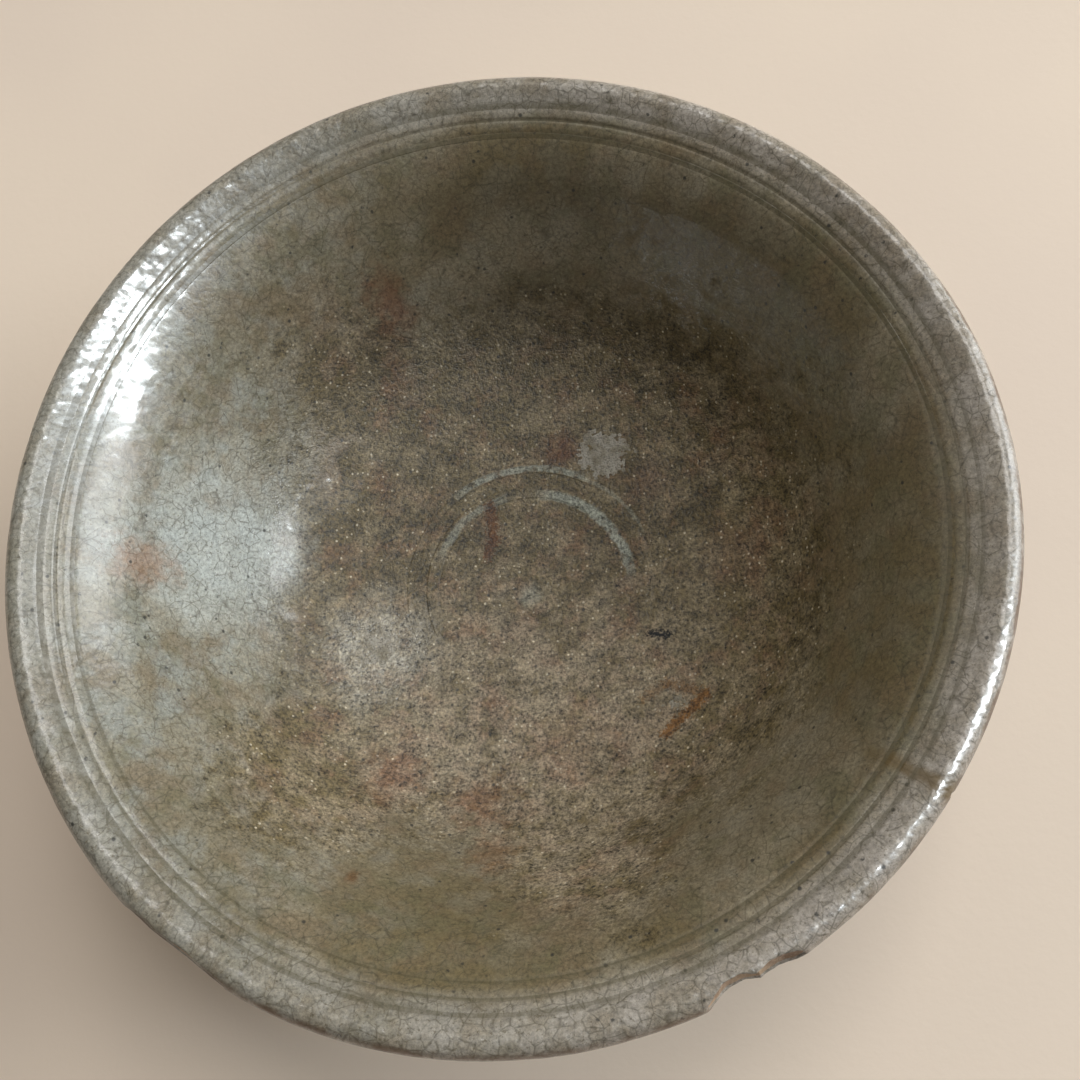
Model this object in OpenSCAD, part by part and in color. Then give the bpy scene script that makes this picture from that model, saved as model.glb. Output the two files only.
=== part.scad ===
// Shallow tea bowl with an everted lip, a turned foot ring and two coats of crackled glaze.
// The origin is the centre of the foot's resting plane, with +Z up.

/* [Bowl] */
// Outside diameter of the mouth
mouth_d = 160; // [150:1:170]
// Height from the resting plane to the crest of the lip
height = 61; // [59:0.5:63]
// Height of the glazed floor at the centre of the well
floor_z = 12.5; // [12:0.1:13.5]
// Radius of curvature of the dished floor
dish_r = 130; // [120:1:150]
// Slope at which the dished floor turns into the corner, in degrees
dish_slope = 16; // [14:0.5:18]
// Radius of the soft corner between floor and wall
corner_r = 26; // [22:0.5:30]
// Slope of the inside wall, in degrees
wall_slope = 59; // [57:0.5:61]

/* [Lip] */
// Radius of the rounded edge of the lip
lip_r = 2.4; // [2:0.1:2.8]
// Slope of the lip's upper face, in degrees
lip_slope = 30; // [26:0.5:34]
// Slope of the lip's under face, in degrees
under_slope = 35; // [31:0.5:39]
// Radius of the bend from the inside wall to the lip
flare_r = 9; // [6:0.5:12]
// Radius of the bend under the lip
under_r = 12; // [10:0.5:14]

/* [Outside] */
// Radius of the belly's curve
belly_r = 41; // [38:0.5:44]
// Slope at which the belly leaves the foot, in degrees
belly_slope = 10; // [8:0.5:12]
// Slope of the outside wall, in degrees
outer_slope = 61; // [60:0.5:62]

/* [Foot] */
// Outside diameter of the foot ring where it joins the body
foot_d = 57; // [54:0.5:60]
// Width of the resting face
foot_w = 4.6; // [4:0.1:6]
// Height of the foot ring
foot_h = 7.5; // [7:0.1:8.5]
// Inward lean of each side of the ring, in degrees
foot_lean = 9; // [5:0.5:12]
// Bevel of the ring's two lower edges
foot_bevel = 0.6; // [0.4:0.1:0.8]

/* [Glaze] */
// Thickness of the glaze coats
glaze_t = 0.5; // [0.4:0.05:0.7]
// Height of the lower edge of the outside coat
glaze_line_z = 11; // [10:0.5:14]
// Radii of the incised lines inside the lip
groove_radii = [74.1, 72.1, 69.9];
// Widths of those lines
groove_widths = [1.3, 0.7, 0.9];
// Depth that an incised line is cut into the clay
groove_cut = 0.35; // [0.2:0.05:0.5]
// Depth of the pooled glaze's surface under the coat's
groove_sink = 0.2; // [0.1:0.05:0.3]
// Radii of the two rings incised in the well
well_ring_radii = [19.3, 23.6];
// Widths of those rings
well_ring_widths = [1.5, 0.8];

/* [Wear] */
// Directions of the rim chips, in degrees
chip_angles = [-62.3, 143.5, 236.5];
// Depths of the chips, measured in from the edge
chip_depths = [2.8, 1.2, 1.5];
// Radii of the balls that scoop out the chips
chip_balls = [7.5, 6.6, 72];
// Directions of the grit pads in the well, in degrees
grit_angles = [60, 205, 319];
// Distances of the pads from the axis
grit_radii = [29, 31, 37];
// Width of each pad
grit_d = 7.5; // [5:0.5:9]
// Height of each pad above the glaze
grit_h = 0.45; // [0.2:0.05:0.6]

/* [Hidden] */
$fn = 180;
steps = 12;
clear = 1;
mouth_r = mouth_d / 2;
foot_r = foot_d / 2;
lip_centre = [mouth_r - lip_r, height - lip_r];

// Unit vector along a slope, and the direction square to it that points up and inwards.
function along(slope) = [cos(slope), sin(slope)];
function upward(slope) = [-sin(slope), cos(slope)];

// Points of a curve whose slope turns from a to b about a centre.
// side is 1 where the curve lies under its centre and -1 where it lies over it.
function bend(centre, r, a, b, side) =
    [for (i = [0 : steps]) centre - side * r * upward(a + (b - a) * i / steps)];

// Length of the first of two straights that join start to end with a bend between them,
// where rest is what the straights have to cover.
function first_run(rest, a, b) =
    (rest.x * sin(b) - rest.y * cos(b)) / sin(b - a);

// Centre of the bend that follows the wall, whose straight starts at start with slope a
// and which leads with slope b to the tangent point end.
function bend_centre(start, end, a, b, r) =
    let (rest = end - start - r * (upward(b) - upward(a)))
    start + first_run(rest, a, b) * along(a) - r * upward(a);

// Centres of the inside curves.
dish_centre = [0, floor_z + dish_r];
corner_centre = dish_centre - (dish_r - corner_r) * upward(dish_slope);
flare_centre = bend_centre(corner_centre - corner_r * upward(wall_slope),
                           lip_centre + lip_r * upward(lip_slope),
                           wall_slope, lip_slope, flare_r);

// Centres of the outside curves.
belly_start = [foot_r, foot_h];
belly_centre = belly_start + belly_r * upward(belly_slope);
under_centre = bend_centre(belly_centre - belly_r * upward(outer_slope),
                           under_start(0),
                           outer_slope, under_slope, under_r);

// Inside surface at depth t under the glaze, from the axis out to the lip.
function inside(t) = concat(
    bend(dish_centre, dish_r + t, 0, dish_slope, 1),
    bend(corner_centre, corner_r + t, dish_slope, wall_slope, 1),
    bend(flare_centre, flare_r - t, wall_slope, lip_slope, -1));

// Rounded edge of the lip at depth t, from its upper face round to its under face.
function edge(t) = concat(
    bend(lip_centre, lip_r - t, lip_slope, -90, -1),
    bend(lip_centre, lip_r - t, -90, under_slope - 180, -1));

// Point at depth t where the lip's edge runs into its under face.
function under_start(t) = lip_centre - (lip_r - t) * upward(under_slope);

// Outside surface at depth t, from the bend under the lip down to the foot.
function outside(t) = concat(
    bend(under_centre, under_r + t, under_slope, outer_slope, -1),
    bend(belly_centre, belly_r - t, outer_slope, belly_slope, 1));

function reversed(points) = [for (i = [len(points) - 1 : -1 : 0]) points[i]];

// Height of the glazed inside surface over a radius, on the dish and on the lip's face.
function dish_z(r) = dish_centre.y - sqrt(dish_r * dish_r - r * r);
lip_start = lip_centre + lip_r * upward(lip_slope);
function lip_z(r) = lip_start.y - (lip_start.x - r) * tan(lip_slope);

module spin() {
    rotate_extrude() children();
}

// Scooped chips in the edge of the lip.
module chips() {
    for (i = [0 : len(chip_angles) - 1])
        rotate(chip_angles[i])
            translate([mouth_r + chip_balls[i] - chip_depths[i], 0, lip_centre.y])
                sphere(chip_balls[i]);
}

// Section of an incised line cut square to a surface at p, whose slope is given.
// It goes down through the glaze into the clay, and top is its upper end over the surface.
module slot(p, slope, width, top) {
    depth = glaze_t + groove_cut;
    translate(p) rotate(slope) translate([-width / 2, -depth]) square([width, depth + top]);
}

module groove_slots(top) {
    for (i = [0 : len(groove_radii) - 1])
        slot([groove_radii[i], lip_z(groove_radii[i])], lip_slope, groove_widths[i], top);
}

module well_slots(top) {
    for (i = [0 : len(well_ring_radii) - 1])
        slot([well_ring_radii[i], dish_z(well_ring_radii[i])],
             asin(well_ring_radii[i] / dish_r), well_ring_widths[i], top);
}

module stoneware_body() color("#b39a78")
    difference() {
        spin() difference() {
            polygon(concat([[0, foot_h]], inside(glaze_t), edge(glaze_t), outside(glaze_t),
                           [[foot_r, foot_h]]));
            groove_slots(clear);
            well_slots(clear);
        }
        chips();
    }

module foot_ring() color("#a58a68") {
    lean = (foot_h - foot_bevel) * tan(foot_lean);
    rest_out = foot_r - lean;
    rest_in = rest_out - foot_w;
    spin() polygon([
        [rest_in - lean, foot_h], [rest_in, foot_bevel], [rest_in + foot_bevel, 0],
        [rest_out - foot_bevel, 0], [rest_out, foot_bevel], [foot_r, foot_h]]);
}

module inner_glaze() color("#8f8c78")
    difference() {
        spin() difference() {
            polygon(concat(inside(0), edge(0), reversed(edge(glaze_t)),
                           reversed(inside(glaze_t))));
            groove_slots(clear);
            well_slots(clear);
        }
        chips();
    }

module outer_glaze() color("#98988a")
    difference() {
        spin() intersection() {
            polygon(concat([under_start(0)], outside(0), reversed(outside(glaze_t)),
                           [under_start(glaze_t)]));
            translate([0, glaze_line_z]) square([mouth_r, height]);
        }
        chips();
    }

module rim_groove_glaze() color("#5d5a42")
    spin() groove_slots(-groove_sink);

module well_ring_glaze() color("#a9b3ac")
    spin() well_slots(-groove_sink / 2);

module kiln_grit() color("#b5a78f")
    difference() {
        for (i = [0 : len(grit_angles) - 1])
            rotate(grit_angles[i])
                translate([grit_radii[i], 0, dish_z(grit_radii[i])])
                    rotate([0, -asin(grit_radii[i] / dish_r), 0])
                        translate([0, 0, -grit_h])
                            cylinder(d1 = grit_d, d2 = grit_d * 0.7, h = 2 * grit_h);
        spin() polygon(concat([[0, 0]], inside(0), [[mouth_r, 0]]));
    }

stoneware_body();
foot_ring();
inner_glaze();
outer_glaze();
rim_groove_glaze();
well_ring_glaze();
kiln_grit();
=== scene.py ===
"""Looks for a shallow stoneware tea bowl with a crackled grey-green glaze.

Shapes are worked out in millimetres and become metres when a mesh is made.
"""

import itertools
import math

import bpy
import numpy as np
from mathutils import Matrix, Vector


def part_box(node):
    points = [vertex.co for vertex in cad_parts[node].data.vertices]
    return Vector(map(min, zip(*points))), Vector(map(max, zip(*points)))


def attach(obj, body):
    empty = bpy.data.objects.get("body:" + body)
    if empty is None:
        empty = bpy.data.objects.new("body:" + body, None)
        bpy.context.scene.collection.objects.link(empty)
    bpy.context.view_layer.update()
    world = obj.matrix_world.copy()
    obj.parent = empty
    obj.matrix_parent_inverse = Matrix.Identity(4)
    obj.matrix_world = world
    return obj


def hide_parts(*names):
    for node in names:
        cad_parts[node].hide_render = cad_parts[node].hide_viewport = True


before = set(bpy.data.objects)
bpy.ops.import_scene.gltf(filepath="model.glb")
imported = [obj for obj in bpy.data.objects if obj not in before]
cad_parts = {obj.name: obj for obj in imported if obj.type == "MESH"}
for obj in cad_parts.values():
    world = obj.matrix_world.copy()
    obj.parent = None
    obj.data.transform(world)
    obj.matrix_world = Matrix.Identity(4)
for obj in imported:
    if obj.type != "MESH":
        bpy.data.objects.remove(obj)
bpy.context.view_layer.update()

# ------------------------------------------------------------------ sizes, in millimetres
MM = 0.001
BODY = "root"

MOUTH_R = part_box("inner_glaze")[1].x / MM
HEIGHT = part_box("inner_glaze")[1].z / MM
FOOT_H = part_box("foot_ring")[1].z / MM
FOOT_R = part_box("foot_ring")[1].x / MM
GLAZE_T = 0.5
FLOOR_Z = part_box("inner_glaze")[0].z / MM + GLAZE_T

# Radii of the outline's curves, and the slopes between them in degrees.
DISH_R = 130
DISH_SLOPE = 16
CORNER_R = 26
WALL_SLOPE = 59
FLARE_R = 24
LIP_R = 2.4
LIP_SLOPE = 30
UNDER_SLOPE = 35
UNDER_R = 12
OUTER_SLOPE = 61
BELLY_R = 41
BELLY_SLOPE = 10

# Foot ring.
FOOT_W = 4.6
FOOT_LEAN = 9
FOOT_BEVEL = 0.6

# The knife's facets on the foot: how many, and how deep.
FACETS = 11
FACET_DEPTH = 0.12

# The nipple under the foot: height and radius.
NIPPLE_H = 1.3
NIPPLE_R = 5.0

# Incised lines: radius, depth and half width. The ridge stands up between two of them, and
# the well's rings are a little off the axis.
GROOVES = ((74.1, 0.11, 0.55), (72.1, 0.16, 0.26), (69.9, 0.09, 0.42))
RIDGE = (70.95, 0.05, 0.4)
WELL_RINGS = ((19.3, 0.1, 1.0), (23.6, 0.12, 0.4))
WELL_CENTRE = np.array([0.9, -0.7])

# Throwing marks: depth, and distance from one to the next.
INNER_MARKS = (0.022, 5.6)
OUTER_MARKS = (0.11, 6.8)
CLAY_MARKS = (0.07, 1.9)

# The roll of glaze along the outer coat's lower edge: height, half width and distance from
# the edge, then how far in the edge starts to turn down.
ROLL_H = 0.22
ROLL_HALF = 0.9
ROLL_IN = 1.2
EDGE_TURN = 0.7

# Wear of the rim: direction in degrees, depth, and the scoop's half sizes in and out,
# along the rim and up, then how far its middle is over the lip's middle.
SCOOPS = (
    (-63.4, 2.8, (6.0, 6.4, 5.0), 1.0),
    (-59.2, 2.1, (5.0, 6.4, 4.6), 1.4),
    (142.4, 1.2, (3.4, 3.8, 3.4), 0.2),
    (144.6, 0.7, (3.4, 4.6, 3.2), 0.4),
    (236.5, 1.35, (6.5, 21.0, 5.0), 1.6),
    (231.5, 1.0, (6.0, 9.0, 4.0), 1.2),
    (-34.3, 0.35, (1.6, 1.2, 2.6), 0.6),
)
CRACK_ANGLE = -34.4

# Points round each turned skin, points across each ring of pooled glaze, and the radius
# at which the skins of the inside start.
COLUMNS = 520
POOL_POINTS = 9
POLE_R = 0.6


# ------------------------------------------------------------------ outline of the bowl
def upward(slope):
    """Directions square to slopes in degrees, which point out of the clay."""
    angle = np.radians(slope)
    return np.stack([-np.sin(angle), np.cos(angle)], -1)


def along(slope):
    angle = math.radians(slope)
    return np.array([math.cos(angle), math.sin(angle)])


def bend_centre(start, end, first, last, radius):
    """Centre of the bend between two straights that lead from start to end."""
    rest = end - start - radius * (upward(last) - upward(first))
    a, b = math.radians(first), math.radians(last)
    run = (rest[0] * math.sin(b) - rest[1] * math.cos(b)) / math.sin(b - a)
    return start + run * along(first) - radius * upward(first)


def outline():
    """The glazed surface from the axis, over the lip and down to the foot, as rows of
    distance along it, radius, height and slope, and the distance at each arc's end."""
    lip = np.array([MOUTH_R - LIP_R, HEIGHT - LIP_R])
    dish = np.array([0, FLOOR_Z + DISH_R])
    corner = dish - (DISH_R - CORNER_R) * upward(DISH_SLOPE)
    flare = bend_centre(corner - CORNER_R * upward(WALL_SLOPE),
                        lip + LIP_R * upward(LIP_SLOPE), WALL_SLOPE, LIP_SLOPE, FLARE_R)
    belly = np.array([FOOT_R, FOOT_H]) + BELLY_R * upward(BELLY_SLOPE)
    under = bend_centre(belly - BELLY_R * upward(OUTER_SLOPE),
                        lip - LIP_R * upward(UNDER_SLOPE), OUTER_SLOPE, UNDER_SLOPE, UNDER_R)
    # Each arc is its centre, radius, first slope and last slope. The outside's slopes count
    # on past the lip, so they are less than zero.
    arcs = (
        (dish, DISH_R, 0, DISH_SLOPE),
        (corner, CORNER_R, DISH_SLOPE, WALL_SLOPE),
        (flare, -FLARE_R, WALL_SLOPE, LIP_SLOPE),
        (lip, -LIP_R, LIP_SLOPE, UNDER_SLOPE - 180),
        (under, UNDER_R, UNDER_SLOPE - 180, OUTER_SLOPE - 180),
        (belly, -BELLY_R, OUTER_SLOPE - 180, BELLY_SLOPE - 180),
    )
    rows, ends = [], []
    for centre, radius, first, last in arcs:
        slopes = np.linspace(first, last, 2 + int(abs(last - first)))
        points = centre - radius * upward(slopes)
        rows.append(np.column_stack([points, slopes]))
        ends.append(sum(len(r) for r in rows) - 1)
    table = np.concatenate(rows)
    steps = np.hypot(*np.diff(table[:, :2], axis=0).T)
    run = np.concatenate([[0], np.cumsum(steps)])
    return np.column_stack([run, table]), run[ends]


OUTLINE, ARC_ENDS = outline()
RUN_LIP_END = ARC_ENDS[3]
RUN_END = ARC_ENDS[5]
# Where the inner coat hands over to the outer one, just under the lip.
RUN_JOIN = RUN_LIP_END + 2.6


def inside_run(radius):
    """Distance along the outline at a radius on the inside."""
    top = int(np.argmax(OUTLINE[:, 2]))
    return float(np.interp(radius, OUTLINE[:top, 1], OUTLINE[:top, 0]))


def outside_run(height):
    """Distance along the outline at a height on the outside."""
    low = OUTLINE[OUTLINE[:, 0] > RUN_LIP_END]
    return float(np.interp(-height, -low[:, 2], low[:, 0]))


# ------------------------------------------------------------------ noise and warp
NOISE_VALUES = 4096
HASH_X, HASH_Y, HASH_Z = 73856093, 19349663, 83492791

# The bowl's departures from round and from level at the rim: amount, waves and phase.
SWELL_WAVES = ((0.38, 3, -0.3), (0.12, 2, 1.9))
LIFT_WAVES = ((0.3, 2, 0.6), (0.14, 3, 2.1))


def noise(points, cell, seed):
    """Smooth noise from -1 to 1 whose lumps are about one cell wide."""
    table = np.random.default_rng(seed).uniform(-1, 1, NOISE_VALUES)
    scaled = points / cell
    corner = np.floor(scaled).astype(np.int64)
    part = scaled - corner
    part = part * part * (3 - 2 * part)
    total = np.zeros(points.shape[:-1])
    for step in itertools.product((0, 1), repeat=3):
        x, y, z = np.moveaxis(corner + step, -1, 0)
        index = (x * HASH_X ^ y * HASH_Y ^ z * HASH_Z) & (NOISE_VALUES - 1)
        weight = np.prod(np.where(step, part, 1 - part), axis=-1)
        total += weight * table[index]
    return total


def fractal(points, cell, seed, octaves=3):
    """Noise with finer and weaker noise on it."""
    return sum(noise(points, cell / 2 ** i, seed + i) / 2 ** i for i in range(octaves))


def waves(angle, table):
    return sum(amount * np.cos(count * angle + phase) for amount, count, phase in table)


def warp(points):
    """The bowl's small departures from round and level, which grow towards the rim."""
    x, y, z = np.moveaxis(points, -1, 0)
    angle = np.arctan2(y, x)
    share = np.clip(z / HEIGHT, 0, 1) ** 2
    lift = waves(angle, LIFT_WAVES)
    scale = 1 + share * waves(angle, SWELL_WAVES) / MOUTH_R
    return np.stack([x * scale, y * scale, z + share * lift], -1)


# ------------------------------------------------------------------ meshes
def add_piece(name, points, faces, material, node):
    """A smooth mesh piece that rides on the bowl and stands for a CAD node."""
    mesh = bpy.data.meshes.new(name)
    mesh.from_pydata((np.asarray(points) * MM).tolist(), [], [list(f) for f in faces])
    mesh.validate()
    mesh.shade_smooth()
    mesh.materials.append(material)
    piece = bpy.data.objects.new(name, mesh)
    bpy.context.scene.collection.objects.link(piece)
    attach(piece, BODY)
    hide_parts(node)
    return piece


def grid_faces(rows, columns, closed):
    """Quads between rows of points that go once round the axis. A closed grid also joins
    its last row to its first."""
    last = rows if closed else rows - 1
    i = np.arange(last)[:, None]
    j = np.arange(columns)[None, :]
    here, there = i * columns, (i + 1) % rows * columns
    after = (j + 1) % columns
    return np.stack([here + j, there + j, there + after, here + after], -1).reshape(-1, 4)


def lathe(rings, closed):
    """Points and faces of a turned skin. An open one ends in a pole at each end."""
    rows, columns = rings.shape[:2]
    points = warp(rings).reshape(-1, 3)
    faces = grid_faces(rows, columns, closed).tolist()
    if not closed:
        for row, turn in ((0, 1), (rows - 1, -1)):
            pole = len(points)
            ring = row * columns + np.arange(columns)
            points = np.vstack([points, points[ring].mean(0)])
            for a, b in zip(ring, np.roll(ring, -1)):
                faces.append([pole, a, b][::turn])
    return points, faces


def azimuths():
    return np.arange(COLUMNS) * 2 * math.pi / COLUMNS


def surface(runs, depth=0.0):
    """Points at a depth under the outline turned round the axis, with their outward
    directions and their distances along the outline."""
    runs = np.broadcast_to(np.asarray(runs, float).reshape(len(runs), -1), (len(runs), COLUMNS))
    radius, height, slope = (np.interp(runs, OUTLINE[:, 0], OUTLINE[:, i]) for i in (1, 2, 3))
    normal = upward(slope)
    angle = azimuths()
    spoke = np.stack([np.cos(angle), np.sin(angle)], -1)[None]
    centre = np.concatenate([radius[..., None] * spoke, height[..., None]], -1)
    out = np.concatenate([normal[..., :1] * spoke, normal[..., 1:]], -1)
    return centre - np.asarray(depth)[..., None] * out, out, runs


def spaced(*stretches):
    """Positions along stretches, each given as start, end and step."""
    found = []
    for start, end, step in stretches:
        count = max(1, round(abs(end - start) / step))
        found.append(np.linspace(start, end, count, endpoint=False))
    return np.concatenate(found + [[stretches[-1][1]]])


def dip(points, line):
    """Depth of an incised line, given as radius, depth and half width."""
    radius, depth, half = line
    return depth * np.exp(-((np.hypot(points[..., 0], points[..., 1]) - radius) / half) ** 2)


def marks(points, runs, size, drift=0):
    """Spiral throwing marks, given as depth and distance from one to the next."""
    depth, pitch = size
    angle = np.arctan2(points[..., 1], points[..., 0])
    return depth * np.sin(2 * math.pi * runs / pitch + angle + drift)


def lumps(points):
    """Unevenness that the inner glaze and the glaze lying in its lines share."""
    return 0.07 * fractal(points, 14, 21) + 0.02 * fractal(points, 2.6, 31, 2)


def inner_relief(points, runs):
    """Depth of the inner glaze's surface under the plain outline."""
    uneven = 1 + 0.5 * noise(points, 9, 11)
    inner = runs < RUN_LIP_END
    grooves = sum(dip(points, line) for line in GROOVES) * uneven - dip(points, RIDGE)
    moved = points - np.append(WELL_CENTRE, 0)
    well = sum(dip(moved, line) for line in WELL_RINGS)
    shown = np.clip((RUN_LIP_END - runs) / 4, 0, 1) * (runs > inside_run(26))
    turning = shown * marks(points, runs, INNER_MARKS)
    return inner * (grooves + well) + turning + lumps(points)


def outer_relief(points, runs):
    """Depth of the outer glaze's surface under the plain outline."""
    turning = marks(points, runs, OUTER_MARKS, 0.5 * noise(points, 20, 41))
    fade = np.clip((runs - RUN_LIP_END) / 6, 0, 1)
    uneven = 0.12 * fractal(points, 17, 42) + 0.02 * fractal(points, 2.6, 31, 2)
    return turning * fade + uneven


# ------------------------------------------------------------------ materials
# What height 1 of a clear coat's ripple rises, in millimetres.
COAT_LIFT = 0.12


class Graph:
    """A material whose nodes are made by plain arithmetic on its outputs."""

    def __init__(self, name):
        self.material = bpy.data.materials.new(name)
        self.material.use_nodes = True
        self.tree = self.material.node_tree
        self.tree.nodes.clear()

    def put(self, socket, value):
        if isinstance(value, Link):
            self.tree.links.new(value.socket, socket)
        else:
            socket.default_value = value

    def node(self, kind, out=0, sockets=(), **settings):
        """Adds a node and gives one of its outputs."""
        made = self.tree.nodes.new("ShaderNode" + kind)
        for name, value in settings.items():
            setattr(made, name, value)
        for key, value in dict(sockets).items():
            self.put(made.inputs[key], value)
        return Link(self, made.outputs[out])

    def math(self, operation, *values):
        return self.node("Math", sockets=enumerate(values), operation=operation)

    def noise(self, at, size, detail=2.0, rough=0.5, twist=0.0):
        """Noise from 0 to 1 whose lumps are about that many millimetres wide."""
        return self.node("TexNoise", "Fac", {
            "Vector": at, "Scale": 1 / size, "Detail": detail, "Roughness": rough,
            "Distortion": twist})

    def noises(self, at, size, detail=2.0, rough=0.5):
        """Three unlike noises of the same size."""
        colour = self.node("TexNoise", "Color", {
            "Vector": at, "Scale": 1 / size, "Detail": detail, "Roughness": rough})
        return [self.node("SeparateColor", i, {0: colour}) for i in range(3)]

    def cells(self, at, size, feature="DISTANCE_TO_EDGE"):
        """Distance to the edge of a cell, or with F1 to its middle, as a share of size."""
        return self.node("TexVoronoi", "Distance", {"Vector": at, "Scale": 1 / size},
                         feature=feature)

    def ramp(self, value, low, high, first=0.0, last=1.0, smooth=True):
        """Turns low to high into first to last, and holds at both ends."""
        kind = "SMOOTHSTEP" if smooth else "LINEAR"
        return self.node("MapRange", sockets={
            "Value": value, "From Min": low, "From Max": high, "To Min": first,
            "To Max": last}, interpolation_type=kind)

    def mix(self, share, first, last, blend="MIX"):
        made = self.tree.nodes.new("ShaderNodeMix")
        made.data_type = "RGBA"
        made.blend_type = blend
        self.put(made.inputs[0], share)
        self.put(made.inputs[6], first)
        self.put(made.inputs[7], last)
        return Link(self, made.outputs[2])

    def shader(self, colour, roughness, height, lift, gloss=None, **constants):
        """Ends the material. lift is what height 1 rises, in millimetres, and gloss is a
        clear coat's weight and its own height."""
        shader = self.tree.nodes.new("ShaderNodeBsdfPrincipled")
        self.put(shader.inputs["Base Color"], colour)
        self.put(shader.inputs["Roughness"], roughness)
        for name, value in constants.items():
            shader.inputs[name.replace("_", " ")].default_value = value
        bump = self.node("Bump", "Normal", {"Height": height, "Distance": lift * MM})
        self.put(shader.inputs["Normal"], bump)
        if gloss is not None:
            weight, ripple = gloss
            bump = self.node("Bump", "Normal", {"Height": ripple, "Distance": COAT_LIFT * MM})
            self.put(shader.inputs["Coat Weight"], weight)
            self.put(shader.inputs["Coat Normal"], bump)
        end = self.tree.nodes.new("ShaderNodeOutputMaterial")
        self.tree.links.new(shader.outputs[0], end.inputs["Surface"])
        return self.material


class Link:
    """An output of a node."""

    def __init__(self, graph, socket):
        self.graph = graph
        self.socket = socket

    def __add__(self, other):
        return self.graph.math("ADD", self, other)

    def __sub__(self, other):
        return self.graph.math("SUBTRACT", self, other)

    def __rsub__(self, other):
        return self.graph.math("SUBTRACT", other, self)

    def __mul__(self, other):
        return self.graph.math("MULTIPLY", self, other)

    def __truediv__(self, other):
        return self.graph.math("DIVIDE", self, other)

    __radd__ = __add__
    __rmul__ = __mul__


def srgb(red, green, blue):
    """A colour of 0 to 255 channels as a shader's colour."""
    channels = [c / 255 for c in (red, green, blue)]
    return tuple(c / 12.92 if c <= 0.04045 else ((c + 0.055) / 1.055) ** 2.4
                 for c in channels) + (1.0,)


# Colours of the clear glaze, from the wall's olive to the greys of the lip.
OLIVE_DARK = srgb(110, 98, 70)
OLIVE_LIGHT = srgb(133, 123, 101)
# The grey of thicker glaze, which over the left wall also stands for painted sheen.
THICK_GREY_AND_SHEEN = srgb(152, 149, 134)
BLUISH_CLOUD = srgb(147, 152, 147)
BROWN_CLOUD = srgb(118, 100, 74)
MOSS_FLECK = srgb(104, 100, 74)
# A pale blue-white patch on the left wall: partly glaze, partly painted highlight.
MILKY_PATCH_AND_HIGHLIGHT = srgb(186, 193, 190)
# The lip's own grey, lightened towards the right with painted sheen.
LIP_LEFT = srgb(148, 146, 137)
LIP_RIGHT_PAINTED_SHEEN = srgb(174, 167, 159)
DARK_CRUMB = srgb(90, 80, 58)
POOLED_GLAZE = srgb(70, 64, 40)
RING_GLAZE = srgb(140, 144, 133)
GROOVE_SHADE = srgb(88, 82, 60)

# Colours of the sandy skin over the well.
SKIN_DARK = srgb(98, 85, 59)
SKIN_LIGHT = srgb(114, 101, 75)
SKIN_PINK = srgb(132, 97, 77)
SKIN_FLECK = srgb(94, 82, 60)
SKIN_CRUST = srgb(153, 140, 121)
# Painted highlight on the sandy skin.
SKIN_PAINTED_HIGHLIGHT = srgb(190, 187, 175)
# Pale grains, which also stand for painted glints.
BRIGHT_GRAIN_AND_GLINT = srgb(196, 186, 164)
DARK_PIT = srgb(52, 42, 28)
# Multipliers of the skin: darker at the back of the well, paler at its front.
BACK_TONE = (0.72, 0.71, 0.6, 1)
FRONT_TONE = (1.02, 1.03, 1.0, 1)

# Colours of iron and of dirt in the cracks.
CRACKLE_ON_GLAZE = srgb(76, 70, 54)
CRACKLE_ON_SKIN = srgb(66, 56, 38)
IRON_SPECK = srgb(44, 44, 42)
IRON_EDGE = srgb(92, 66, 44)
CRACK_STAIN = srgb(100, 80, 40)
CRACK_LINE = srgb(58, 44, 28)

# Pale bands in the well: ring radius, half width, middle direction, reach each way and
# strength.
RING_BANDS = (
    (19.3, 1.15, 46, 34, 0.85),
    (19.4, 0.9, 130, 22, 0.5),
    (24.4, 0.75, 96, 26, 0.75),
    (24.2, 0.45, 50, 20, 0.35),
)

# Strokes of iron: start, end, half width, colour and strength.
STROKES = (
    ((33.0, -23.2), (25.8, -30.0), 1.05, (116, 76, 26), 0.85),
    ((22.0, -23.2), (26.2, -20.6), 0.9, (114, 82, 44), 0.5),
    ((26.2, -20.6), (32.8, -22.9), 0.9, (114, 80, 38), 0.55),
    ((23.4, -10.8), (26.8, -11.3), 0.8, (12, 10, 8), 1.0),
    ((-7.4, 15.8), (-6.7, 9.4), 1.25, (86, 54, 22), 0.95),
    ((-7.2, 8.6), (-8.0, 6.0), 1.1, (84, 52, 24), 0.9),
)

# Stains of the inside: radius, direction, size, colour and strength.
STAINS = (
    (55, 115, 5.0, (112, 66, 46), 0.5),
    (43, 238, 7.0, (122, 80, 60), 0.5),
    (42, 260, 6.5, (122, 82, 60), 0.4),
    (51, 266, 5.0, (124, 84, 56), 0.4),
    (27.5, 75, 4.6, (90, 58, 34), 0.9),
    (31, 38, 5.0, (112, 82, 66), 0.4),
    (40, 5, 8.0, (112, 84, 68), 0.3),
    (62, 183, 5.0, (142, 100, 66), 0.55),
    (60, 247, 1.3, (100, 68, 36), 0.7),
    (33, 285, 9.0, (134, 108, 88), 0.3),
)

# Width of the cells of the crackle's net and of the finer web in it.
NET_CELL = 2.3
WEB_CELL = 1.3

# Where the sandy skin reaches out past the well, and where it is smooth enough to shine:
# radius, direction and size.
SAND_REACHES = ((46, 128, 14), (50, 285, 15), (45, 228, 17))
WET_SPOTS = ((31, 205, 9.0), (50, 162, 3.0), (48.5, 181, 2.6))


def millimetres(g):
    """Object coordinates in millimetres."""
    return g.node("VectorMath", sockets=[(0, g.node("TexCoord", "Object")), (3, 1 / MM)],
                  operation="SCALE")


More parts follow.
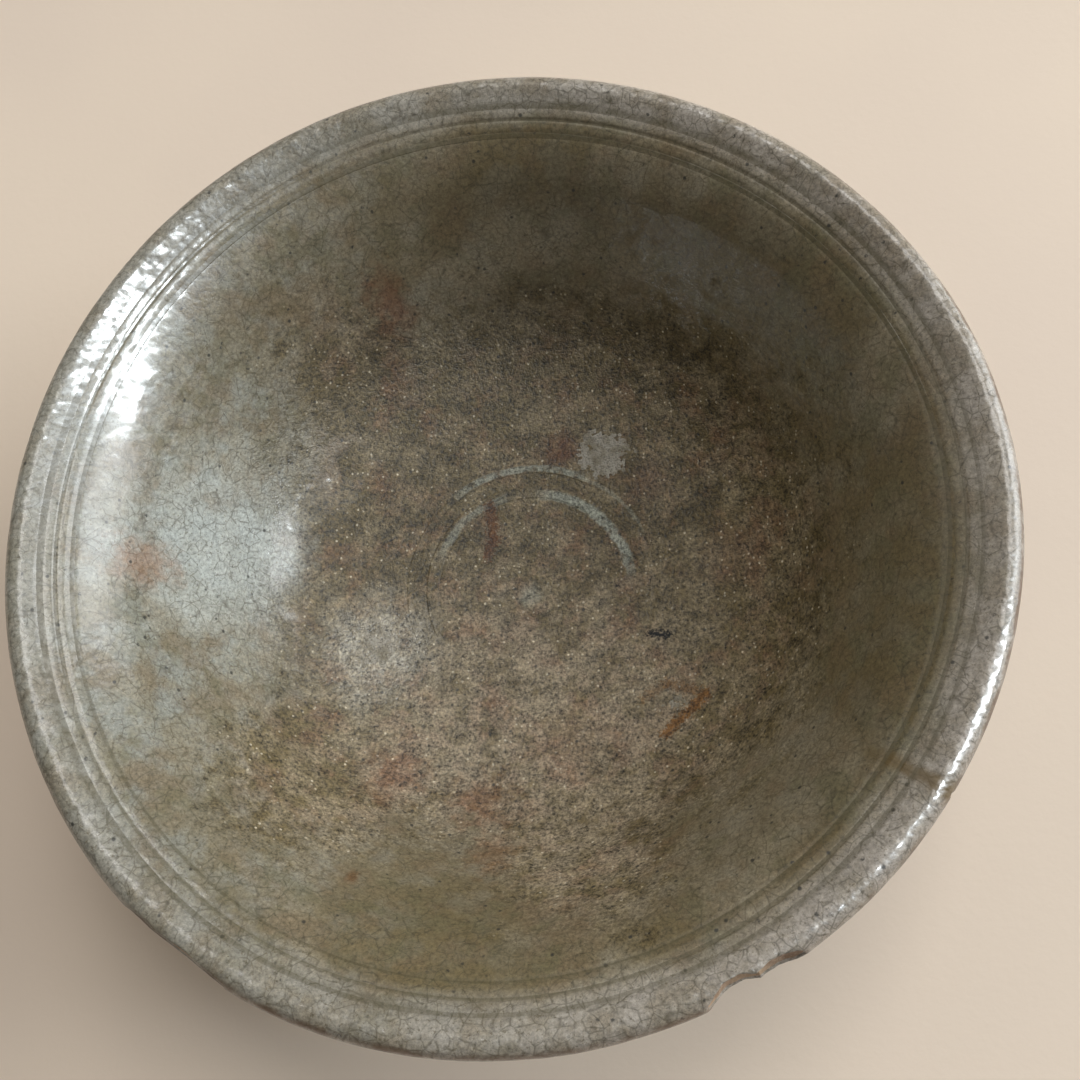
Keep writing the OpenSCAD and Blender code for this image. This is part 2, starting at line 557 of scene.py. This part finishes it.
class Places:
    """Places in millimetres, and the noises that the layers of a glaze share."""

    def __init__(self, g):
        spot = millimetres(g)
        self.spot = spot
        self.x, self.y = (g.node("SeparateXYZ", axis, {0: spot}) for axis in "XY")
        self.radius = g.math("SQRT", self.x * self.x + self.y * self.y)
        self.slow = g.noise(spot, 24, 2, 0.5, 0.4)
        self.patch, self.cloud, self.fleck = g.noises(spot, 7.5, 4, 0.62)
        self.ragged, self.keep, self.gap = g.noises(spot, 2.6, 3, 0.6)
        self.grain, self.glint, self.crumb = g.noises(spot, 0.62, 2, 0.8)
        self.uneven = (self.ragged - 0.5) * 2.2


def polar(radius, degrees):
    angle = math.radians(degrees)
    return radius * math.cos(angle), radius * math.sin(angle)


def spot_mask(g, x, y, centre, radius, blur, wobble):
    """1 inside a blurred round spot, whose edge is pushed about by wobble."""
    dx, dy = x - centre[0], y - centre[1]
    distance = g.math("SQRT", dx * dx + dy * dy) + wobble
    return g.ramp(distance, radius - blur, radius + blur, 1, 0)


def arc_mask(g, x, y, centre, line, half, middle, span):
    """1 on a soft band along an arc, which runs span degrees to both sides of middle."""
    dx, dy = x - centre[0], y - centre[1]
    radius = g.math("SQRT", dx * dx + dy * dy)
    off = g.math("ABSOLUTE", radius - line)
    towards = polar(1, middle)
    turn = (dx * towards[0] + dy * towards[1]) / g.math("MAXIMUM", radius, 0.1)
    ends = g.ramp(turn, math.cos(math.radians(span + 12)), math.cos(math.radians(span - 8)))
    return g.ramp(off, half * 0.55, half * 1.15, 1, 0) * ends


def specks_mask(g, spot, size, share, reach):
    """1 on small round specks, in that share of cells as wide as size."""
    distance = g.cells(spot, size, "F1")
    tint = Link(g, distance.socket.node.outputs["Color"])
    chance = g.node("SeparateColor", 0, {0: tint})
    picked = g.ramp(chance, share - 0.01, share + 0.01, 1, 0)
    return g.ramp(distance, reach * 0.55, reach, 1, 0) * picked


def stroke_mask(g, x, y, start, end, half, wobble):
    """1 on a soft, uneven stroke from start to end."""
    along_x, along_y = end[0] - start[0], end[1] - start[1]
    square = along_x ** 2 + along_y ** 2
    dx, dy = x - start[0], y - start[1]
    share = g.ramp((dx * along_x + dy * along_y) / square, 0, 1, 0, 1, smooth=False)
    off_x, off_y = dx - share * along_x, dy - share * along_y
    distance = g.math("SQRT", off_x * off_x + off_y * off_y) + wobble
    return g.ramp(distance, half * 0.4, half * 1.35, 1, 0)


def clear_glaze(g, p):
    """Olive glaze of the wall, with grey and bluish clouds, and paler over the lip. Over the
    left wall the grey, the bluish and a pale blue-white patch stand partly for thicker glaze and
    partly for painted sheen and highlight, and the lip is lightened towards its right with
    painted sheen.
    """
    colour = g.mix(g.ramp(p.slow, 0.4, 0.6), OLIVE_DARK, OLIVE_LIGHT)
    # Grey and bluish laid on over the left wall: partly thicker glaze, partly painted sheen.
    thick_and_sheen = spot_mask(g, p.x, p.y, polar(62, 182), 54.0, 34.0, 0.0)
    colour = g.mix(thick_and_sheen * 0.65, colour, THICK_GREY_AND_SHEEN)
    bluish = g.ramp(p.patch, 0.42, 0.64, 0, 0.65) * (thick_and_sheen * 0.8 + 0.2)
    colour = g.mix(bluish, colour, BLUISH_CLOUD)
    colour = g.mix(g.ramp(p.cloud, 0.47, 0.66, 0, 0.5), colour, BROWN_CLOUD)
    colour = g.mix(g.ramp(p.fleck, 0.5, 0.64, 0, 0.5), colour, MOSS_FLECK)
    # Pale blue-white patch on the left wall: partly thicker glaze, partly painted highlight.
    wobble = (p.cloud - 0.5) * 30 + p.uneven
    milky_and_highlight = spot_mask(g, p.x, p.y, polar(51, 177), 12.0, 10.0, wobble)
    colour = g.mix(milky_and_highlight * 0.65, colour, MILKY_PATCH_AND_HIGHLIGHT)
    # The lip is paler, and lightened towards its right with painted sheen.
    lip = g.ramp(p.radius, 70.5, 75) * g.ramp(p.cloud, 0.4, 0.6, 0.8, 0.4)
    colour = g.mix(lip, colour, g.mix(g.ramp(p.x, -50, 50), LIP_LEFT, LIP_RIGHT_PAINTED_SHEEN))
    return g.mix(g.ramp(p.crumb, 0.42, 0.32, 0, 0.6), colour, DARK_CRUMB)


def crackle_mask(g, p):
    """1 on a net of cracks and on a finer, fainter one in it, both pushed out of true."""
    push = g.node("TexNoise", "Color", {"Vector": p.spot, "Scale": 0.22, "Detail": 0.5})
    push = g.node("VectorMath", sockets=[(0, push), (3, 3.0)], operation="SCALE")
    bent = g.node("VectorMath", sockets=[(0, p.spot), (1, push)], operation="ADD")
    net = g.ramp(g.cells(bent, NET_CELL), 0.0, 0.075, 1, 0)
    net = net * g.ramp(p.gap, 0.38, 0.56, 0.2, 1.0)
    web = g.ramp(g.cells(bent, WEB_CELL), 0.0, 0.07, 1, 0)
    web = web * g.ramp(p.cloud, 0.42, 0.6, 0, 0.5)
    return g.math("MAXIMUM", net, web)


def sand_mask(g, p, outside):
    """1 where the glaze is sandy: over the well, or faintly in patches on the outside."""
    if outside:
        return g.ramp(p.patch, 0.56, 0.7, 0, 0.3)
    wobble = (p.cloud - 0.5) * 26 + (p.ragged - 0.5) * 12
    sand = spot_mask(g, p.x, p.y, (4.0, 0.0), 51.0, 6.0, wobble)
    for r, degrees, size in SAND_REACHES:
        more = spot_mask(g, p.x, p.y, polar(r, degrees), size, 6.0, wobble)
        sand = g.math("MAXIMUM", sand, more)
    return sand * (1 - spot_mask(g, p.x, p.y, polar(52, 174), 8.0, 6.0, wobble * 0.6))


def sandy_skin(g, p, crackle, outside):
    """Dull, mottled brown skin with pale grains that also stand for painted glints, dark pits, a
    patch of painted highlight, and paler towards the front.
    """
    skin = g.mix(g.ramp(p.slow, 0.4, 0.62), SKIN_DARK, SKIN_LIGHT)
    pink = g.ramp(p.cloud + (p.ragged - 0.5) * 0.5, 0.47, 0.64, 0, 0.6)
    skin = g.mix(pink, skin, SKIN_PINK)
    skin = g.mix(g.ramp(p.fleck, 0.46, 0.7, 0, 0.4), skin, SKIN_FLECK)
    # Paler towards the front of the well and darker at its back.
    front_spot = spot_mask(g, p.x, p.y, (3.0, -34.0), 33.0, 20.0, 0.0)
    crust = g.ramp(p.patch + (p.ragged - 0.5) * 0.8 + front_spot * 0.1, 0.34, 0.74)
    skin = g.mix(crust * 0.7, skin, SKIN_CRUST)
    skin = g.mix(1.0, skin, g.mix(front_spot, BACK_TONE, FRONT_TONE), "MULTIPLY")
    if not outside:
        # Painted highlight: a pale patch where the lights' sheen falls on the well.
        wobble = (p.cloud - 0.5) * 22 + p.uneven * 2.5
        painted_highlight = spot_mask(g, p.x, p.y, polar(31.5, 205), 8.0, 7.5, wobble)
        skin = g.mix(painted_highlight * g.ramp(p.gap, 0.4, 0.6, 0.25, 0.5), skin, SKIN_PAINTED_HIGHLIGHT)
    # Pale grains, partly painted glints.
    grains_and_glints = specks_mask(g, p.spot, 0.95, 0.34, 0.3)
    pits = specks_mask(g, p.spot, 0.8, 0.4, 0.34)
    skin = g.mix(grains_and_glints * g.ramp(p.keep, 0.4, 0.6, 0.1, 0.75), skin, BRIGHT_GRAIN_AND_GLINT)
    skin = g.mix(pits * g.ramp(p.gap, 0.4, 0.6, 0.2, 0.7), skin, DARK_PIT)
    return g.mix(crackle * 0.15, skin, CRACKLE_ON_SKIN)


def well_marks(g, p, colour):
    """Stains, the pale glaze in the well's rings and middle, and strokes of iron."""
    for r, degrees, size, tint, strength in STAINS:
        mask = spot_mask(g, p.x, p.y, polar(r, degrees), size * 0.6, size * 0.55,
                         (p.ragged - 0.5) * (size * 1.8))
        colour = g.mix(mask * strength, colour, srgb(*tint))

    solid = g.ramp(p.keep, 0.34, 0.5, 0.25, 1)
    for line, half, middle, span, strength in RING_BANDS:
        band = arc_mask(g, p.x + p.uneven, p.y + p.keep, WELL_CENTRE, line, half, middle, span)
        colour = g.mix(band * solid * strength, colour, RING_GLAZE)
    dimple = spot_mask(g, p.x, p.y, (0.4, -2.1), 1.9, 1.3, p.uneven)
    colour = g.mix(dimple * 0.5, colour, RING_GLAZE)

    for start, end, half, tint, strength in STROKES:
        wobble = p.uneven * 0.5 + (p.glint - 0.5) * 4
        mask = stroke_mask(g, p.x, p.y, start, end, half, wobble)
        colour = g.mix(mask * strength, colour, srgb(*tint))
    return colour


def iron_marks(g, p, colour):
    """Specks of iron, and brown where the glaze thins over the edge of the lip."""
    dots = g.cells(p.spot, 2.6, "F1")
    specks = g.ramp(dots, 0.07, 0.17, 1, 0) * g.ramp(p.keep, 0.47, 0.53)
    colour = g.mix(specks * 0.85, colour, IRON_SPECK)
    thin = g.ramp(p.radius, MOUTH_R - 1.3, MOUTH_R - 0.2)
    return g.mix(thin * g.ramp(p.cloud, 0.42, 0.58, 0.15, 0.8), colour, IRON_EDGE)


def crack_marks(g, p, colour):
    """Brown stain along the crack in the lip, and a dark line in its middle."""
    across, ahead = polar(1, CRACK_ANGLE + 90), polar(1, CRACK_ANGLE)
    offset = p.x * across[0] + p.y * across[1] + (p.ragged - 0.5) * 2.0
    offset = g.math("ABSOLUTE", offset)
    reach = g.ramp(p.x * ahead[0] + p.y * ahead[1], 66.0, 71)
    colour = g.mix(g.ramp(offset, 0.4, 1.9, 1, 0) * reach * 0.75, colour, CRACK_STAIN)
    return g.mix(g.ramp(offset, 0.0, 0.25, 1, 0) * reach * 0.2, colour, CRACK_LINE)


def groove_shade(g, p, colour):
    """Darker glaze in the incised lines of the lip."""
    for line, _, half in GROOVES:
        offset = g.math("ABSOLUTE", p.radius - line)
        low = g.ramp(offset, half * 0.3, half * 1.5, 1, 0) * g.ramp(p.keep, 0.36, 0.6, 0.25, 0.8)
        colour = g.mix(low * 0.5, colour, GROOVE_SHADE)
    return colour


def glaze_roughness(g, p, sand, outside):
    """Glossy on the wall, dull on the sand, and shinier in its few smooth spots."""
    rough = g.ramp(p.ragged, 0.35, 0.65, 0.3, 0.42)
    rough = rough + sand * g.ramp(p.glint, 0.35, 0.65, 0.42, 0.2)
    if outside:
        return rough
    for r, degrees, size in WET_SPOTS:
        wet = spot_mask(g, p.x, p.y, polar(r, degrees), size, size * 0.7, p.uneven)
        rough = rough - wet * sand * g.ramp(p.crumb, 0.4, 0.6, 0.2, 0.5)
    return rough


def glaze(name, pooled=0.0, outside=False):
    """Crackled glaze, clear and bluish up the wall, sandy and dull over the well. pooled
    is how much darker it is for lying deep."""
    g = Graph(name)
    p = Places(g)
    crackle = crackle_mask(g, p)
    sand = sand_mask(g, p, outside)
    clear = g.mix(crackle * 0.55, clear_glaze(g, p), CRACKLE_ON_GLAZE)
    colour = g.mix(sand, clear, sandy_skin(g, p, crackle, outside))
    if not outside:
        colour = well_marks(g, p, colour)
    tone = (p.grain - 0.5) * (sand * 2.1 + 1.6) + (p.keep - 0.5) * (sand * 1.2 + 0.3) + 1
    colour = g.mix(1.0, colour, tone, "MULTIPLY")
    colour = crack_marks(g, p, iron_marks(g, p, colour))
    if not outside:
        colour = groove_shade(g, p, colour)
    if pooled:
        colour = g.mix(pooled, colour, POOLED_GLAZE)

    # The surface is gritty where the sand lies and pebbled towards the lip.
    pebbled = g.ramp(p.radius, 73, 78.5, 0, 1)
    gritty = 0.3 if outside else g.ramp(p.radius, 44, 60, 1.8, 0.2)
    relief = (g.noise(p.spot, 0.62, 2, 0.8) * gritty
              + g.noise(p.spot, 2.6, 2, 0.6) * (pebbled + 0.5))
    ripple = g.noise(p.spot, 2.6, 1, 0.6) * (pebbled * 1.6 + 1.0)
    gloss = g.ramp(sand, 0, 0.7, 0.5, 0.01), ripple
    return g.shader(colour, glaze_roughness(g, p, sand, outside), relief, 0.2, gloss,
                    Coat_Roughness=0.15, Specular_IOR_Level=0.3)


# Colours of the clay and of the kiln grit.
BODY_LIGHT = srgb(176, 148, 118)
BODY_DARK = srgb(150, 120, 92)
FOOT_LIGHT = srgb(164, 134, 104)
FOOT_DARK = srgb(134, 104, 78)
CLAY_GRAIN = srgb(196, 176, 146)
CLAY_SPECK = srgb(70, 52, 38)
GRIT_DARK = srgb(140, 132, 112)
GRIT_LIGHT = srgb(172, 166, 152)
GRIT_GAP = srgb(84, 74, 56)


def clay(name, light, dark, speck):
    """Unglazed stoneware with sand in it. speck is how dark its specks are."""
    g = Graph(name)
    spot = millimetres(g)
    drift = g.noise(spot, 8, 4, 0.6, 0.5)
    grain = g.noise(spot, 0.5, 3, 0.75)
    grit = g.cells(spot, 1.3, "F1")
    colour = g.mix(g.ramp(drift, 0.35, 0.65), dark, light)
    colour = g.mix(g.ramp(grain, 0.45, 0.75, 0, 0.5), colour, CLAY_GRAIN)
    keep = g.ramp(g.noise(spot, 1.9, 1), 0.5, 0.56)
    colour = g.mix(g.ramp(grit, 0.1, 0.22, speck, 0) * keep, colour, CLAY_SPECK)
    relief = grain * 0.7 + g.ramp(grit, 0.0, 0.35, 0.5, 0) + g.noise(spot, 3, 2) * 0.4
    return g.shader(colour, g.ramp(grain, 0.3, 0.7, 0.78, 0.92), relief, 0.25)


def grit_material():
    """Refractory sand fused to the glaze."""
    g = Graph("kiln_grit")
    spot = millimetres(g)
    grain = g.noise(spot, 0.35, 3, 0.7)
    drift = g.noise(spot, 3.5, 3)
    colour = g.mix(g.ramp(drift, 0.4, 0.6), GRIT_DARK, GRIT_LIGHT)
    colour = g.mix(g.ramp(grain, 0.4, 0.52, 0.7, 0), colour, GRIT_GAP)
    return g.shader(colour, g.ramp(grain, 0.35, 0.65, 0.5, 0.14), grain, 0.4)


# ------------------------------------------------------------------ pieces
def make_inner_glaze(material):
    """Coat over the inside and the lip, finest over the rings and the incised lines."""
    groove_low, groove_high = inside_run(68.4), inside_run(75.4)
    runs = spaced((POLE_R, 16.5, 1.6), (16.5, 26, 0.45), (26, groove_low, 1.45),
                  (groove_low, groove_high, 0.18), (groove_high, RUN_LIP_END, 0.5),
                  (RUN_LIP_END, RUN_JOIN, 0.6))
    plain, out, at = surface(runs)
    top = plain - inner_relief(plain, at)[..., None] * out
    back = spaced((RUN_JOIN, RUN_LIP_END, 1.2), (RUN_LIP_END, groove_high, 1.0),
                  (groove_high, 60, 2.0), (60, POLE_R, 6.0))
    under = surface(back, GLAZE_T)[0]
    points, faces = lathe(np.concatenate([top, under]), False)
    return add_piece("inner_glaze_coat", points, faces, material,
                     "inner_glaze")


def glaze_line(angle):
    """Height of the outer glaze's lower edge in each direction."""
    circle = np.stack([np.cos(angle), np.sin(angle), angle * 0], -1) * 40
    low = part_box("outer_glaze")[0].z / MM
    return low + 0.9 * noise(circle, 22, 51) + 0.35 * noise(circle, 5, 52)


def make_outer_glaze(material):
    """Coat on the outside, from under the lip down to an uneven line."""
    ends = np.array([outside_run(h) for h in glaze_line(azimuths())])
    share = spaced((0, 0.9, 0.0115), (0.9, 1, 0.006))[:, None]
    runs = RUN_JOIN + (ends - RUN_JOIN) * share
    plain, out, at = surface(runs)
    # A roll of glaze stands along the line, and its edge turns in to the clay.
    left = (ends - RUN_JOIN) * (1 - share)
    roll = ROLL_H * np.exp(-((left - ROLL_IN) / ROLL_HALF) ** 2)
    off = 1 - np.clip(left / EDGE_TURN, 0, 1)
    turned = GLAZE_T * (1 - np.sqrt(np.clip(1 - off ** 2, 0, 1)))
    top = plain - (outer_relief(plain, at) - roll + turned)[..., None] * out
    back = RUN_JOIN + (ends - RUN_JOIN) * spaced((1, 0, 0.06))[:, None]
    under = surface(back, GLAZE_T + 0.25)[0]
    points, faces = lathe(np.concatenate([top, under]), True)
    return add_piece("outer_glaze_coat", points, faces, material,
                     "outer_glaze")


def make_body(material):
    """Clay of the wall and floor, bare below the glaze line, and finest where it shows."""
    runs = spaced((POLE_R, 60, 6.0), (60, inside_run(75), 2.5), (inside_run(75), RUN_JOIN, 0.45),
                  (RUN_JOIN, outside_run(16), 3.0), (outside_run(16), RUN_END, 0.6))
    plain, out, at = surface(runs)
    turned = marks(plain, at, CLAY_MARKS) + 0.12 * fractal(plain, 6, 61)
    bare = np.clip((at - outside_run(15)) / 4, 0, 1)
    skin = plain - (GLAZE_T + 0.02 + bare * turned)[..., None] * out
    # Under the foot: flat, with the rings and the low nipple that the turning tool leaves.
    spokes = skin[-1] / np.hypot(skin[-1, :, 0], skin[-1, :, 1])[:, None]
    rows = []
    for r in spaced((FOOT_R, 1, 1.0)):
        nipple = NIPPLE_H * math.exp(-(r / NIPPLE_R) ** 2) + 0.1 * math.sin(r * 2.4)
        ring = spokes * r
        ring[:, 2] = FOOT_H + 0.35 - nipple
        rows.append(ring)
    points, faces = lathe(np.concatenate([skin, np.array(rows)]), False)
    return add_piece("clay_body", points, faces, material, "stoneware_body")


def make_foot(material):
    """Turned foot ring with soft facets from the trimming knife."""
    lean = (FOOT_H - FOOT_BEVEL) * math.tan(math.radians(FOOT_LEAN))
    outer = FOOT_R - lean
    inner = outer - FOOT_W
    section = np.array([
        (inner - lean, FOOT_H + 0.5), (inner, FOOT_BEVEL), (inner + FOOT_BEVEL, 0),
        (outer - FOOT_BEVEL, 0), (outer, FOOT_BEVEL), (FOOT_R, FOOT_H + 0.5)])
    closed = np.vstack([section, section[:1]])
    run = np.concatenate([[0], np.cumsum(np.hypot(*np.diff(closed, axis=0).T))])
    at = np.arange(0, run[-1], 0.32)
    radius, height = (np.interp(at, run, closed[:, i]) for i in (0, 1))
    angle = azimuths()
    ring = np.stack([radius[:, None] * np.cos(angle), radius[:, None] * np.sin(angle),
                     np.broadcast_to(height[:, None], (len(at), COLUMNS))], -1)
    side = np.where(radius > (inner + outer) / 2, 1, -1)[:, None]
    high = np.clip(height / 2, 0, 1)[:, None]
    cut = 0.1 * fractal(ring, 7, 71) + 0.05 * np.sin(height * 4.2)[:, None]
    facet = FACET_DEPTH * np.abs(np.sin(angle * FACETS / 2 + 0.4 * height[:, None]))
    cut = (cut - facet) * (0.3 + 0.7 * high)
    wear = 0.12 * np.clip(noise(ring, 4, 72), 0, 1) * (1 - high)
    ring[..., :2] *= (1 + side * cut / radius[:, None])[..., None]
    ring[..., 2] += wear * (height[:, None] < 1)
    points, faces = lathe(ring, True)
    return add_piece("turned_foot", points, faces, material, "foot_ring")


def make_pools(name, lines, level, half_widths, centre, material, node):
    """Rings of glaze lying in incised lines. level says how deep their surface is, and
    where it is deeper than the line they are out of sight under the coat."""
    points, faces, start = [], [], 0
    for line, half in zip(lines, half_widths):
        middle = inside_run(line[0])
        across = np.linspace(-half, half, POOL_POINTS)
        plain, out = surface(middle + across)[:2]
        moved = plain + np.append(centre, 0)
        top = moved - level(moved, line)[..., None] * out
        bottom = surface(middle + across[::-1], line[1] + 0.3)[0] + np.append(centre, 0)
        ring_points, ring_faces = lathe(np.concatenate([top, bottom]), True)
        points.append(ring_points)
        faces += (np.array(ring_faces) + start).tolist()
        start += len(ring_points)
    return add_piece(name, np.concatenate(points), faces, material, node)


def groove_level(points, line):
    """A little over the bottom of the line, unevenly."""
    return line[1] * (0.62 + 0.34 * noise(points, 9, 11)) + lumps(points)


def ring_level(points, line):
    """Highest at 80 degrees, towards the back, and out of sight at the front."""
    angle = np.degrees(np.arctan2(points[..., 1], points[..., 0]))
    shown = np.clip(1.15 - np.abs((angle - 80 + 180) % 360 - 180) / 75, -1, 1)
    return line[1] * 0.45 - 0.08 * shown - 0.06 * fractal(points, 3, 83) + 0.05


# Pads of grit: radius, direction, half sizes along and across, and height, then the points
# along each side of a pad.
PADS = ((29.4, 59, 7.4, 5.6, 0.22), (31.0, 205, 6.4, 5.2, 0.02), (37.0, 319, 4.6, 3.0, 0.0))
PAD_POINTS = 72


def make_grit(material):
    """Three rough pads that come up through the glaze of the well."""
    points, faces, start = [], [], 0
    line = np.linspace(-1, 1, PAD_POINTS)
    u, v = np.meshgrid(line, line, indexing="ij")
    for number, (r, degrees, half_u, half_v, tall) in enumerate(PADS):
        cx, cy = polar(r, degrees)
        turn = math.radians(degrees + 90)
        x = cx + u * half_u * math.cos(turn) - v * half_v * math.sin(turn)
        y = cy + u * half_u * math.sin(turn) + v * half_v * math.cos(turn)
        radius = np.hypot(x, y)
        ground = np.interp([inside_run(q) for q in radius.ravel()], OUTLINE[:, 0],
                           OUTLINE[:, 2]).reshape(radius.shape)
        flat = np.stack([x, y, ground * 0 + number * 50], -1)
        mound = tall - (tall + 0.2) * (u ** 2 + v ** 2) ** 0.8 + 0.1 * fractal(flat, 2.2, 91)
        grains = 0.12 * noise(flat, 0.55, 92) + 0.05 * noise(flat, 0.3, 93)
        rise = np.maximum(mound + grains, -0.15)
        rise[[0, -1], :] = -0.25
        rise[:, [0, -1]] = -0.25
        top = np.stack([x, y, ground + rise], -1)
        low = np.stack([x, y, ground - 0.35], -1)
        points.append(warp(np.concatenate([top.reshape(-1, 3), low.reshape(-1, 3)])))
        faces += (np.array(slab_faces(PAD_POINTS)) + start).tolist()
        start += 2 * PAD_POINTS ** 2
    return add_piece("kiln_grit_pads", np.concatenate(points), faces, material,
                     "kiln_grit")


def slab_faces(count):
    """Faces of a square grid, its copy underneath and the four sides between them."""
    below = count * count
    faces = []
    for i, j in itertools.product(range(count - 1), repeat=2):
        a, b = i * count + j, (i + 1) * count + j
        c, d = b + 1, a + 1
        faces.append([a, b, c, d])
        faces.append([below + d, below + c, below + b, below + a])
    rim = (list(range(count))
           + [i * count + count - 1 for i in range(1, count)]
           + [(count - 1) * count + i for i in range(count - 2, -1, -1)]
           + [i * count for i in range(count - 2, 0, -1)])
    for a, b in zip(rim, rim[1:] + rim[:1]):
        faces.append([a, b, below + b, below + a])
    return faces


# ------------------------------------------------------------------ chips
def make_scoop(number, degrees, depth, halves, rise):
    """A rough ball, at its place in the lip, that a chip is cut with."""
    bpy.ops.mesh.primitive_ico_sphere_add(subdivisions=6, radius=1)
    scoop = bpy.context.object
    mesh = scoop.data
    points = np.zeros(len(mesh.vertices) * 3)
    mesh.vertices.foreach_get("co", points)
    points = points.reshape(-1, 3)
    rough = 1 + 0.05 * fractal(points * 10, 5, 101 + number, 4)
    points = points * rough[:, None] * halves
    points[:, 0] += MOUTH_R + halves[0] - depth
    points[:, 2] += HEIGHT - LIP_R + rise
    turn = np.array(Matrix.Rotation(math.radians(degrees), 3, "Z"))
    mesh.vertices.foreach_set("co", (warp(points @ turn.T) * MM).ravel())
    mesh.update()
    return scoop


def cut_chips(pieces):
    """Takes the scoops out of the pieces, then removes the scoops."""
    scoops = [make_scoop(i, *scoop) for i, scoop in enumerate(SCOOPS)]
    for piece in pieces:
        for scoop in scoops:
            cut = piece.modifiers.new("chip", "BOOLEAN")
            cut.operation = "DIFFERENCE"
            cut.object = scoop
            cut.solver = "EXACT"
        view = bpy.context.evaluated_depsgraph_get()
        mesh = bpy.data.meshes.new_from_object(piece.evaluated_get(view))
        piece.modifiers.clear()
        piece.data = mesh
    for scoop in scoops:
        bpy.data.objects.remove(scoop)


# ------------------------------------------------------------------ stage
FLOOR_SIZE = 6
FLOOR_DARK = srgb(222, 205, 188)
FLOOR_LIGHT = srgb(228, 211, 192)
WORLD_COLOUR = (1.0, 0.95, 0.87, 1.0)
WORLD_STRENGTH = 0.16

# Lights: name, direction and elevation in degrees, distance and size in metres, power in
# watts, and colour. The reflected ones show only in reflections.
SOFT_LIGHTS = (
    ("window", 64, 64, 3.0, (1.2, 1.2), 34.0, (1.0, 0.98, 0.95)),
    ("low_window", 18, 27, 3.0, (2.0, 1.6), 78, (0.95, 0.98, 1.0)),
    ("room", 135, 42, 3.0, (2.8, 2.0), 10.4, (1.0, 0.96, 0.88)),
)
REFLECTED_LIGHTS = (
    ("lamp", 356, 50, 1.5, (0.17, 1.2), 58, (0.87, 0.95, 1.0)),
    ("card", 12, 2, 0.42, (0.5, 0.13), 0.8, (0.9, 0.97, 1.0)),
)

# Camera: its place, the directions out of its back and to its right, and its lens.
CAMERA_PLACE = (30.4, -60.75, 234.7)
CAMERA_BACK = (0.1196, -0.2975, 0.9472)
CAMERA_RIGHT = (0.9921, 0.0, -0.1253)
SENSOR_WIDTH = 36
LENS = 40


def make_floor():
    g = Graph("pale_paper")
    spot = millimetres(g)
    drift = g.noise(spot, 140, 3)
    colour = g.mix(g.ramp(drift, 0.35, 0.65), FLOOR_DARK, FLOOR_LIGHT)
    material = g.shader(colour, 0.8, g.noise(spot, 2.5, 4, 0.6), 0.05)
    bpy.ops.mesh.primitive_plane_add(size=FLOOR_SIZE)
    floor = bpy.context.object
    floor.name = "floor"
    floor.data.materials.append(material)


def make_light(name, degrees, elevation, distance, size, power, colour):
    """A soft rectangular light that faces the bowl's mouth."""
    data = bpy.data.lights.new(name, "AREA")
    data.shape = "RECTANGLE"
    data.size, data.size_y = size
    data.energy = power
    data.color = colour
    lamp = bpy.data.objects.new(name, data)
    level = math.cos(math.radians(elevation))
    away = Vector((*polar(level, degrees), math.sin(math.radians(elevation))))
    target = Vector((0, 0, HEIGHT * MM))
    lamp.location = target + away * distance
    lamp.rotation_euler = away.to_track_quat("Z", "Y").to_euler()
    bpy.context.scene.collection.objects.link(lamp)
    return lamp


def make_camera():
    """Looks down into the bowl from the front right, a little off its middle."""
    data = bpy.data.cameras.new("camera")
    data.sensor_width = SENSOR_WIDTH
    data.lens = LENS
    camera = bpy.data.objects.new("camera", data)
    back = Vector(CAMERA_BACK).normalized()
    right = Vector(CAMERA_RIGHT)
    right = (right - right.project(back)).normalized()
    turn = Matrix((right, back.cross(right), back)).transposed()
    camera.matrix_world = Matrix.Translation(Vector(CAMERA_PLACE) * MM) @ turn.to_4x4()
    bpy.context.scene.collection.objects.link(camera)
    bpy.context.scene.camera = camera


def make_world():
    world = bpy.data.worlds.new("studio")
    bpy.context.scene.world = world
    world.use_nodes = True
    background = world.node_tree.nodes["Background"]
    background.inputs["Color"].default_value = WORLD_COLOUR
    background.inputs["Strength"].default_value = WORLD_STRENGTH


bpy.context.scene.view_settings.view_transform = "Standard"
make_camera()
inner = make_inner_glaze(glaze("inner_glaze"))
outer = make_outer_glaze(glaze("outer_glaze", outside=True))
body = make_body(clay("body_clay", BODY_LIGHT, BODY_DARK, 0.6))
make_foot(clay("foot_clay", FOOT_LIGHT, FOOT_DARK, 0.8))
make_pools("groove_pools", GROOVES, groove_level, (0.75, 0.34, 0.5), (0, 0),
           glaze("groove_glaze", pooled=0.3), "rim_groove_glaze")
make_pools("well_ring_pools", WELL_RINGS, ring_level, (1.25, 0.6), WELL_CENTRE,
           glaze("ring_glaze"), "well_ring_glaze")
make_grit(grit_material())
cut_chips([inner, outer, body])

make_floor()
for row in SOFT_LIGHTS:
    make_light(*row)
for row in REFLECTED_LIGHTS:
    light = make_light(*row)
    light.visible_diffuse = False
    light.visible_camera = False
make_world()
